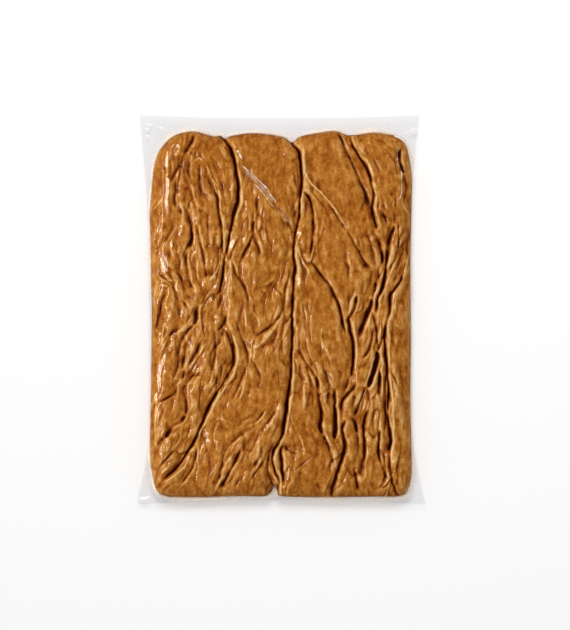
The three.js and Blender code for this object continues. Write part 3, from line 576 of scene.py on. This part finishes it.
class Skin:
    """The skin's relief, to which folds are added one by one.

    Where creases meet, their depths join as the sides of a right angle do, so that ends run together
    and crossings aren't too deep.
    """

    def __init__(self):
        self.x = wandering(X)
        self.y = wandering(Y)
        self.sunk = np.zeros(X.shape)
        self.raised = np.zeros(X.shape)
        # Painted highlight along the crests' tops.
        self.painted_crest_highlight = np.zeros(X.shape)
        # The folds' course, as the cosine and sine of twice its angle. At first it runs along Y.
        self.run = np.zeros((2,) + X.shape)
        self.run[0] -= 0.25
        self.folded = np.zeros(X.shape)
        # Folds and their lips are deeper in some places than in others.
        self.varies = np.clip(1 + 0.25 * noise(12), 0.4, 1.6)
        self.lip_varies = np.clip(0.55 + 0.6 * noise(14), 0, 1.5)

    def add(self, line, reach, shape, weight):
        """Add a shape made from the distance to a line and the place along it."""
        area = window_round(line[:, :2], reach)
        distance, place = to_line(line[:, :2], self.x[area], self.y[area])
        height = shape(distance, place, area)
        self.sunk[area] += np.minimum(height, 0) ** 2
        self.raised[area] += np.maximum(height, 0) ** 2
        tangents = np.diff(line[:, :2], axis=0)
        index = np.minimum(place.astype(int), len(tangents) - 1)
        angle = 2 * np.arctan2(tangents[:, 1], tangents[:, 0])[index]
        near = weight * np.exp(-((distance / COURSE_REACH) ** 2))
        self.run[0][area] += near * np.cos(angle)
        self.run[1][area] += near * np.sin(angle)
        self.folded[area] += near

    def add_crease(self, line, depths, widths, slope, weight):
        """Add a crease whose depth and width are given at each point of its line."""

        def shape(distance, place, area):
            at = np.arange(len(line))
            depth = np.interp(place, at, depths) * DEPTH_SHARE * self.varies[area]
            lip = np.minimum(0.08 * depth + 0.15, 0.5) * self.lip_varies[area]
            return crease(distance, depth, np.interp(place, at, widths), slope, lip * np.clip(depth, 0, 1))

        self.add(line, 4 * slope + 6, shape, weight)

    def add_crest(self, line, heights, width):
        """Add a narrow raised fold, with a painted highlight along its top."""

        def shape(distance, place, area):
            height = np.interp(place, np.arange(len(line)), heights) * (0.5 + 0.5 * self.varies[area])
            # Painted highlight along the crest's top.
            painted_crest_highlight = height * np.exp(-((distance / (0.3 + 0.35 * width)) ** 2))
            self.painted_crest_highlight[area] = np.maximum(self.painted_crest_highlight[area], painted_crest_highlight)
            return 0.8 * height * np.exp(-np.abs(distance) / (0.7 * width))

        self.add(line, 3 * width + 6, shape, 0.3)

    def relief(self):
        """Height of the skin over the shoulders."""
        return np.sqrt(self.raised) - blurred(np.sqrt(self.sunk), 0.3)

    def course(self):
        """The angle at which the folds run."""
        return 0.5 * np.arctan2(blurred(self.run[1], 1.5), blurred(self.run[0], 1.5))


def folded_skin():
    """The skin with all the seams, creases and crests of the tables."""
    skin = Skin()
    for seam in SEAMS:
        line = smooth_line(seam, FOLD_STEPS, 4)
        skin.add_crease(line, np.clip(line[:, 2], 0, None), SEAM_WIDTH * line[:, 3], 2.5, 1.5)
    for depth, width, slope, *numbers in CREASES:
        line = smooth_line(numbers, FOLD_STEPS)
        share = ends_taper(line)
        skin.add_crease(line, depth * share, width * (0.4 + 0.6 * share), slope, depth / 4)
    for height, width, *numbers in CRESTS:
        line = smooth_line(numbers, FOLD_STEPS)
        skin.add_crest(line, height * ends_taper(line), width)
    return skin


def drawn_out(field, angle, length):
    """The field averaged along the way that the folds run, which turns lumps into wrinkles."""
    total = field.copy()
    weight = 1.0
    for way in (1, -1):
        x, y = X.copy(), Y.copy()
        dx, dy = way * np.cos(angle), way * np.sin(angle)
        for step in range(1, length + 1):
            x, y = x + dx, y + dy
            w = math.cos(0.5 * math.pi * step / (length + 1))
            total += w * sample(field, x, y)
            weight += w
            turn = sample(np.cos(2 * angle), x, y), sample(np.sin(2 * angle), x, y)
            new = 0.5 * np.arctan2(turn[1], turn[0])
            nx, ny = np.cos(new), np.sin(new)
            same = np.where(nx * dx + ny * dy < 0, -1, 1)
            dx, dy = nx * same, ny * same
    return even(total / weight)


def shoulder(inside, width):
    """A quarter-ellipse rise, from 0 at the outline to 1 at that distance inside it."""
    return np.sqrt(1 - (1 - np.clip(inside / width, 0, 1)) ** 2)


def small_folds(size, length, depth):
    """Folds too small to place one by one: each a slope on one side of its line, a wall on the other."""
    across = drawn_out(noise(size), COURSE, length)
    field = -np.where(across > 0, np.exp(-across / 1.1), np.exp(across / 0.3))
    return depth * (field - field.mean()) * np.clip(0.6 + 0.5 * noise(20), 0, 1.2)


def make_food_height():
    """Height of the food's surface, and of its skin alone, without the shoulders."""
    wrinkles = drawn_out(noise(7.5), COURSE, 16)
    fine = drawn_out(noise(3), COURSE, 3)
    folds = small_folds(10, 14, 1.2) + small_folds(6, 9, 0.7)
    crumpled = 0.2 + np.clip(blurred(skin.folded, 5), 0, 1.2)
    creases = crumpled * (folds + 0.4 * wrinkles + 0.1 * fine) + 0.05 * fine
    swell = 0.5 * noise(34) + 0.12 * noise(14, 0.6)
    relief = skin.relief()
    relief = np.where(relief < DEEP, DEEP + DEEP_FADE * np.tanh((relief - DEEP) / DEEP_FADE), relief)
    crown = TOP - CREST_ROOM - RIM
    rise = crown + relief + creases + swell - SINK
    return RIM + shoulder(INSIDE, TOP_SHOULDER) * np.maximum(rise, LEAST_RISE), rise


def press_flat(field):
    """The field with its flats pressed in: planes that rise eastwards, with soft edges."""
    smooth = blurred(field, 2.0)
    field = field.copy()
    for width, *numbers in FLATS:
        line = smooth_line(numbers, FOLD_STEPS)
        area = window_round(line, 3 * width + 4)
        distance, place = to_line(line, X[area], Y[area])
        at = np.arange(len(line))
        middle = sample(smooth, np.interp(place, at, line[:, 0]), np.interp(place, at, line[:, 1]))
        share = 1 - smoothstep(np.abs(distance), width, width + 1.6)
        share = share * np.interp(place, at, ends_taper(line))
        slope = FACET_SLOPE + FACET_TURN * X[area]
        field[area] += share * (middle + slope * distance - field[area])
    return field


def painted_crease_light(height):
    """How far each place lies below the skin close by in creases, and above it along the edges of grooves:
    painted shade in the creases, painted highlight along the edges.
    """
    filled = np.maximum(height, blurred(height, 3.0) - 0.3)
    return np.minimum(height - blurred(height, 1.3), 0) + np.maximum(filled - blurred(filled, 1.1), 0)


def film_over(food):
    """The film's height over the food: it spans narrow creases and lies on everything else."""
    sag = blurred(food, 0.5) - food
    film = blurred(food + 0.5 * (sag + np.sqrt(sag**2 + 0.15)), 0.5) + FILM_GAP
    return np.maximum(film, food + FILM_MINIMUM)


skin = folded_skin()
COURSE = skin.course()
FOOD, SKIN_HEIGHT = make_food_height()
FOOD = press_flat(FOOD)
FILM = film_over(FOOD)
# Painted shade and light from the relief: lower than the skin close by is darker, higher is paler.
PAINTED_RELIEF_SHADE = SKIN_HEIGHT - blurred(SKIN_HEIGHT, 4.0)
# Painted shade in creases and painted highlight along the edges of grooves.
PAINTED_CREASE_LIGHT = painted_crease_light(SKIN_HEIGHT)
INWARD_Y, INWARD_X = np.gradient(blurred(INSIDE, 1.0), STEP)

# ---- Heights and places for the meshes


def rim_height(inside):
    """Height of the weld, lower towards the pouch's free corners."""
    return RIM - RIM_DROOP * smoothstep(-inside, 0, DROOP_REACH)


def weld_height(x, y):
    """Height of the upper face of the weld."""
    return rim_height(sample(INSIDE, x, y)) + WELD_HALF


def inward(x, y, distance):
    """Places moved that far inwards from the food's outline."""
    return x + distance * sample(INWARD_X, x, y), y + distance * sample(INWARD_Y, x, y)


def film_height(x, y):
    """Height of the upper sheet of film, which stands off a little round the food's steep sides."""
    inside = sample(INSIDE, x, y)
    weld = weld_height(x, y)
    over = sample_smoothly(FILM, *inward(x, y, STAND_OFF * (1 - smoothstep(inside, 4, 10))))
    return np.where(inside > -STAND_OFF, np.maximum(over, weld), weld)


def film_beyond(x, y):
    """How far the film goes on beyond a place on the food's outline, roughly."""
    return np.minimum.reduce([x - pouch_left(y), pouch_right(y) - x, pouch_top(x) - y, y - pouch_bottom(x)])


def spaced(count, dense):
    """Steps from 0 to 1, closer together at both ends by that share."""
    t = np.linspace(0, 1, count)
    return t - dense * np.sin(2 * np.pi * t) / (2 * np.pi)


def film_places(columns, rows, dense):
    """Places over the whole film, row by row from its lower left corner."""
    u = spaced(columns, dense)[None]
    v = spaced(rows, dense)[:, None]
    y = LOW[1] + (HIGH[1] - LOW[1]) * v + 0 * u
    x = pouch_left(y) + (pouch_right(y) - pouch_left(y)) * u
    lower_edge = (pouch_bottom(x) - LOW[1]) * (1 - smoothstep(v, 0, 0.02))
    upper_edge = (pouch_top(x) - HIGH[1]) * smoothstep(v, 0.96, 1)
    return x, y + lower_edge + upper_edge


def log_places(x, y, start, end):
    """Places over a log, its ends fitted to the food's outline and all of it kept inside."""
    y = y + np.zeros_like(x)
    if end == BODY_END:
        y = y + (y_at(top_line, x) - end) * smoothstep(y, end - END_FIT, end)
    y = y + (y_at(bottom_line, x) - start) * (1 - smoothstep(y, start, start + END_FIT))
    return inward(x, y, np.clip(-sample(INSIDE, x, y), 0, None))


def outline_side(line):
    """Where a long side of the outline runs, as a function of y."""
    return lambda y: x_at(line, y)


def seam_side(index):
    """Where a seam runs, as a function of y. The last one turns to the outline at the edge log's tip."""

    def side(y):
        x = np.clip(x_at(seam_lines[index], y), x_at(left_line, y) + 1, x_at(right_line, y) - 0.3)
        return x + (x_at(right_line, y) - x) * smoothstep(y, *EDGE_LOG_TIP) * (index == 2)

    return side


# ---- Meshes


def make_object(name, points, faces, smooth=True):
    """A mesh object from points in mm."""
    mesh = bpy.data.meshes.new(name)
    mesh.vertices.add(len(points))
    mesh.vertices.foreach_set("co", (np.asarray(points, float) * MM).ravel())
    faces = np.asarray(faces, np.int32)
    mesh.loops.add(faces.size)
    mesh.loops.foreach_set("vertex_index", faces.ravel())
    mesh.polygons.add(len(faces))
    mesh.polygons.foreach_set("loop_start", np.arange(0, faces.size, faces.shape[1], dtype=np.int32))
    mesh.polygons.foreach_set("use_smooth", np.full(len(faces), smooth))
    mesh.update(calc_edges=True)
    mesh.validate()
    obj = bpy.data.objects.new(name, mesh)
    bpy.context.collection.objects.link(obj)
    return obj


def grid_points(x, y, z):
    """The points of a grid, row by row."""
    return np.stack([x, y, z], axis=-1).reshape(-1, 3)


def grid_faces(rows, columns, wrap=False):
    """Quads over a grid of points numbered row by row, facing up where rows run up and columns right."""
    j, i = np.meshgrid(np.arange(rows - 1), np.arange(columns if wrap else columns - 1), indexing="ij")
    right = (i + 1) % columns
    corners = [j * columns + i, j * columns + right, (j + 1) * columns + right, (j + 1) * columns + i]
    return np.stack(corners, axis=-1).reshape(-1, 4)


def add_attribute(obj, name, values):
    """Give each of the mesh's points a number that its material reads."""
    layer = obj.data.attributes.new(name, "FLOAT", "POINT")
    layer.data.foreach_set("value", np.asarray(values, np.float32).ravel())


def patches_and_side_highlight(x, y):
    """How much paler or darker the skin is in broad patches, plus a painted highlight along the food's long
    sides.
    """
    patches = sum(
        amount * np.exp(-((x - px) ** 2 + (y - py) ** 2) / radius**2)
        for px, py, radius, amount in PATCHES
    )
    # Painted highlight along the food's long sides.
    side = (1 - smoothstep(sample(INSIDE, x, y), 0.5, 3.5)) * smoothstep(np.abs(x), 80, 88)
    return patches + SIDE_PAINTED_HIGHLIGHT * side


def make_log(name, left, right, start, end):
    """One log: its top follows the food's surface between two lines, its back is plain and round."""
    rows = int((end - start) / STEP)
    along = start + (end - start) * spaced(rows, LOG_ROWS)[:, None]
    edge = left(along)
    width = right(along) - edge
    across = spaced(int(np.max(width) / STEP), LOG_COLUMNS)
    back_across = spaced(BACK_COLUMNS + 2, BACK_SPACING)[-2:0:-1]
    x, y = log_places(edge + width * across, along, start, end)
    back_x, back_y = log_places(edge + width * back_across, along, start, end)
    z = sample_smoothly(FOOD, x, y)
    hollow = shoulder(sample(INSIDE, back_x, back_y), BASE_SHOULDER)
    back_z = BACK_GAP + (RIM - 2 * BACK_GAP) * (1 - hollow)
    ring = [np.hstack(pair) for pair in ((x, back_x), (y, back_y), (z, back_z))]
    log = make_object(name, grid_points(*ring), grid_faces(rows, ring[0].shape[1], wrap=True))
    fields = {attribute: sample_smoothly(field, x, y) for attribute, field in PAINTED_LIGHT_FIELDS.items()}
    # The patches attribute holds the broad patches and the painted highlight along the sides.
    fields["patches"] = patches_and_side_highlight(x, y)
    for attribute, values in fields.items():
        add_attribute(log, attribute, np.hstack([values, 0 * back_x]))
    return log


def make_film_top():
    """The upper sheet of film, from edge to edge of the pouch."""
    columns, rows, dense = FILM_TOP_GRID
    x, y = film_places(columns, rows, dense)
    film = make_object("film_top", grid_points(x, y, film_height(x, y)), grid_faces(rows, columns))
    add_attribute(film, "touching", smoothstep(sample(INSIDE, x, y), 0, 3))
    return film


def make_film_back():
    """The lower sheet of film, flat under the food."""
    columns, rows, dense = FILM_BACK_GRID
    x, y = film_places(columns, rows, dense)
    inside = sample(INSIDE, x, y)
    z = (rim_height(inside) - WELD_HALF) * (1 - shoulder(inside, BASE_SHOULDER)) + FILM_LIFT
    return make_object("film_back", grid_points(x, y, z), grid_faces(rows, columns)[:, ::-1])


def film_folds():
    """The film's own folds: the height under them, their height, half width, whiteness of the painted
    highlight and line.
    """
    for height, width, highlight_white, *numbers in PINCHES:
        yield film_height, height, width, highlight_white, smooth_line(numbers, PINCH_STEPS)
    for end in (-1, 1):
        outline = np.roll(body_outline, -np.argmin(end * body_outline[:, 1]), axis=0)
        for distance, width, highlight_white, start in WELD_CREASES:
            x, y = outline[end * outline[:, 1] > start].T
            fit = np.clip(film_beyond(x, y) / (distance + width), 0, 1)
            line = np.stack(inward(x, y, -distance * fit), axis=-1)
            yield weld_height, WELD_CREASE_HEIGHT, width * fit[:, None], highlight_white, line


def make_pinches():
    """Small sharp folds of the film itself, as narrow tents along their lines, with a painted highlight
    whitest along the top.
    """
    points, faces, highlight_whiteness, highlight_warmth = [], [], [], []
    for ground, height, width, highlight_white, line in film_folds():
        tangents = np.gradient(line, axis=0)
        across = np.stack([-tangents[:, 1], tangents[:, 0]], axis=-1)
        across /= np.linalg.norm(across, axis=-1, keepdims=True)
        wave = np.convolve(pinch_rng.standard_normal(len(line) + 6), np.hanning(9)[1:-1] / 2, "valid")
        share = ends_taper(line) * np.clip(1 + 0.4 * wave, 0.3, 1.6)
        first = len(points)
        for offset, lift in TENT:
            x, y = (line + across * offset * width * share[:, None]).T
            z = ground(x, y) + height * lift * share + FOLD_BASE
            points.extend(np.column_stack([x, y, z]))
            # Painted highlight, whitest along the fold's top.
            highlight_whiteness.extend(highlight_white * share * (1 - abs(offset)) ** 1.2)
            # The painted highlight is warmer over the food.
            highlight_warmth.extend(smoothstep(sample(INSIDE, x, y), -5, -3))
        faces.extend(first + grid_faces(len(TENT), len(line)))
    pinches = make_object("film_pinches", points, faces)
    add_attribute(pinches, "highlight_whiteness", highlight_whiteness)
    add_attribute(pinches, "highlight_warmth", highlight_warmth)
    return pinches


# The fields of the skin that its material reads: painted shade and light from the relief, painted shade in
# creases with painted highlight on groove edges, and painted highlight along crests
PAINTED_LIGHT_FIELDS = {"relief_shade_paint": PAINTED_RELIEF_SHADE, "crease": PAINTED_CREASE_LIGHT, "painted_crest_highlight": skin.painted_crest_highlight}
logs = [
    make_log("log_left", outline_side(left_line), seam_side(0), BODY_BASE, BODY_END),
    make_log("log_middle", seam_side(0), seam_side(1), BODY_BASE, BODY_END),
    make_log("log_right", seam_side(1), seam_side(2), BODY_BASE, BODY_END),
    make_log("log_edge", seam_side(2), outline_side(right_line), BODY_BASE, EDGE_LOG_END),
]
film_top = make_film_top()
film_pinches = make_pinches()
film_back = make_film_back()

# ---- Materials


class Nodes:
    """A short way to build a material's node tree."""

    def __init__(self, name):
        self.material = bpy.data.materials.new(name)
        self.material.use_nodes = True
        self.tree = self.material.node_tree
        self.tree.nodes.clear()

    def node(self, kind, *values, **named):
        """A new node. Its sockets are filled in order, or by name with _ for each blank."""
        node = self.tree.nodes.new("ShaderNode" + kind)
        sockets = list(enumerate(values)) + [(name.replace("_", " "), value) for name, value in named.items()]
        for key, value in sockets:
            if isinstance(value, bpy.types.NodeSocket):
                self.tree.links.new(value, node.inputs[key])
            else:
                node.inputs[key].default_value = value
        return node

    def out(self, kind, *values, **named):
        """The first output of a new node."""
        return self.node(kind, *values, **named).outputs[0]

    def math(self, operation, first, second, clamp=False):
        node = self.node("Math", first, second)
        node.operation = operation
        node.use_clamp = clamp
        return node.outputs[0]

    def weighted(self, *parts):
        """The sum of some values, each times its weight."""
        total = self.math("MULTIPLY", *parts[0])
        for value, weight in parts[1:]:
            total = self.math("ADD", total, self.math("MULTIPLY", value, weight))
        return total

    def attribute(self, name):
        node = self.node("Attribute")
        node.attribute_name = name
        return node.outputs["Fac"]

    def noise(self, scale, detail, roughness, stretch=(1, 1, 1)):
        """Noise over the object's own coordinates in metres."""
        place = self.node("TexCoord").outputs["Object"]
        place = self.out("Mapping", place, Scale=stretch)
        return self.out("TexNoise", place, Scale=scale, Detail=detail, Roughness=roughness)

    def bump(self, height, distance):
        return self.out("Bump", Strength=0.5, Distance=distance, Height=height)

    def ramp(self, value, stops):
        """A colour for each value, between stops of (place, colour)."""
        node = self.node("ValToRGB", value)
        elements = node.color_ramp.elements
        while len(elements) < len(stops):
            elements.new(0.5)
        for element, (place, color) in zip(elements, stops):
            element.position = place
            element.color = tuple(color) + (1,)
        return node.outputs[0]

    def finish(self, surface):
        """The material, with that shader as its surface."""
        self.node("OutputMaterial", surface)
        return self.material


def linear(*screen):
    """A linear colour from the 0 to 255 values that a screen shows."""
    return tuple(((c / 255 + 0.055) / 1.055) ** 2.4 for c in screen)


def food_material():
    """Brown skin, with painted shade in its creases and painted highlights on its crests, under a coat: the
    film that clings.
    """
    n = Nodes("seitan")
    # The crease attribute paints shade into creases and a highlight along groove edges; where creases are
    # deep the coat thins out too.
    crease_depth = n.attribute("crease")
    # The tone: painted shade and light from the relief, painted crease shade and groove-edge highlight,
    # painted crest highlight, mottling at three sizes, and the broad patches with the painted side highlight.
    tone = n.weighted(
        (n.attribute("relief_shade_paint"), 0.08),
        (crease_depth, 0.5),
        (n.attribute("painted_crest_highlight"), 0.26),
        (n.math("SUBTRACT", n.noise(900, 2, 0.6), 0.5), 0.42),
        (n.noise(330, 2, 0.55, (1, 0.65, 1)), 0.6),
        (n.noise(110, 2, 0.5), 0.4),
        (n.attribute("patches"), 1.0),
    )
    return n.finish(n.out(
        "BsdfPrincipled",
        Base_Color=n.ramp(tone, [(place, linear(*screen)) for place, *screen in SKIN_AND_PAINTED_LIGHT_TONES]),
        Roughness=0.42,
        Specular_IOR_Level=0.12,
        Coat_Weight=n.math("ADD", 1.0, n.math("MULTIPLY", crease_depth, 2.5), clamp=True),
        Coat_Roughness=0.05,
        Coat_IOR=1.5,
        Normal=n.bump(n.noise(450, 3, 0.6, (1, 0.4, 1)), 0.0004),
        Coat_Normal=n.bump(n.noise(700, 2, 0.6), 0.00015),
    ))


def film_material(name, roughness):
    """Clear glossy film. Where it lies on the food, most of the shine is in the food's own coat."""
    n = Nodes(name)
    bump = n.bump(n.noise(600, 2, 0.6), 0.0002)
    shine = n.math("MINIMUM", n.out("Fresnel", IOR=1.55, Normal=bump), FILM_SHINE)
    clear = n.out("BsdfTransparent", FILM_TINT)
    gloss = n.out("BsdfGlossy", WHITE, Roughness=roughness, Normal=bump)
    free = n.math("SUBTRACT", 1.0, n.attribute("touching"))
    return n.finish(n.out("MixShader", n.math("MULTIPLY", shine, free), clear, gloss))


def pinch_material():
    """Painted highlight on the film's folds, broken into streaks, warmer over the food than beyond it."""
    n = Nodes("film_pinch_highlight")
    highlight_white = n.out("BsdfDiffuse", n.ramp(n.attribute("highlight_warmth"), [(0, (1, 1, 1)), (1, (1, 0.86, 0.7))]))
    streaks = n.math("ADD", n.math("MULTIPLY", n.noise(700, 2, 0.5), 1.6), -0.1)
    highlight_whiteness = n.math("MULTIPLY", n.attribute("highlight_whiteness"), 1.6)
    cover = n.math("MULTIPLY", highlight_whiteness, streaks, clamp=True)
    return n.finish(n.out("MixShader", cover, n.out("BsdfTransparent", WHITE), highlight_white))


def floor_material():
    n = Nodes("floor")
    diffuse = n.out("BsdfDiffuse", FLOOR_COLOR)
    glow = n.out("Emission", WHITE, FLOOR_GLOW)
    return n.finish(n.out("AddShader", diffuse, glow))


seitan = food_material()
for log in logs:
    log.data.materials.append(seitan)
film_top.data.materials.append(film_material("film", 0.1))
film_back.data.materials.append(film_material("film_back", 0.12))
film_pinches.data.materials.append(pinch_material())
film_pieces = [film_top, film_back, film_pinches]
for piece in logs + film_pieces:
    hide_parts(POUCH_NODE)
    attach(piece, "root")

# ---- Floor, light and camera


def make_floor():
    """A wide white floor, which isn't seen in the film's reflections."""
    corners = [(i * FLOOR_HALF, j * FLOOR_HALF, -FLOOR_DROP) for i, j in ((-1, -1), (1, -1), (1, 1), (-1, 1))]
    floor = make_object("floor", corners, [(0, 1, 2, 3)], smooth=False)
    floor.data.materials.append(floor_material())
    floor.visible_glossy = False


def area_light(name, place, width, height, power, color):
    """A light at a place in mm that points at the middle of the pouch."""
    data = bpy.data.lights.new(name, "AREA")
    data.shape = "RECTANGLE"
    data.size = width * MM
    data.size_y = height * MM
    data.energy = power
    data.color = color
    light = bpy.data.objects.new(name, data)
    bpy.context.collection.objects.link(light)
    x, y, z = (value * MM for value in place)
    light.location = (x, y, z)
    distance = math.sqrt(x * x + y * y + z * z)
    light.rotation_euler = (math.acos(z / distance), 0, math.atan2(y, x) + math.pi / 2)
    return light


def make_lights():
    """The lights, each kept to the pieces that it lights, and the even light from all round."""
    lit = {"pack": logs + film_pieces, "food": logs, "film": film_pieces}
    for name, place, width, height, power, color, receivers in LIGHTS:
        light = area_light(name, place, width, height, power, color)
        if name in SOFT_LIGHTS:
            light.visible_glossy = False
        else:
            light.visible_diffuse = False
        if receivers in lit:
            light.light_linking.receiver_collection = bpy.data.collections.new("lit_by_" + name)
            for piece in lit[receivers]:
                light.light_linking.receiver_collection.objects.link(piece)
    world = bpy.data.worlds.new("studio")
    world.use_nodes = True
    background = world.node_tree.nodes["Background"]
    background.inputs["Color"].default_value = WHITE
    background.inputs["Strength"].default_value = SKY_LIGHT
    world.cycles_visibility.glossy = False
    bpy.context.scene.world = world


def make_camera():
    camera = bpy.data.objects.new("camera", bpy.data.cameras.new("camera"))
    camera.location = (VIEW_MIDDLE[0] * MM, VIEW_MIDDLE[1] * MM, (DISTANCE + VIEW_LEVEL) * MM)
    camera.data.sensor_width = SENSOR
    camera.data.lens = SENSOR * DISTANCE / VIEW_HEIGHT
    bpy.context.collection.objects.link(camera)
    bpy.context.scene.camera = camera
    bpy.context.scene.view_settings.view_transform = "Standard"


make_floor()
make_lights()
make_camera()
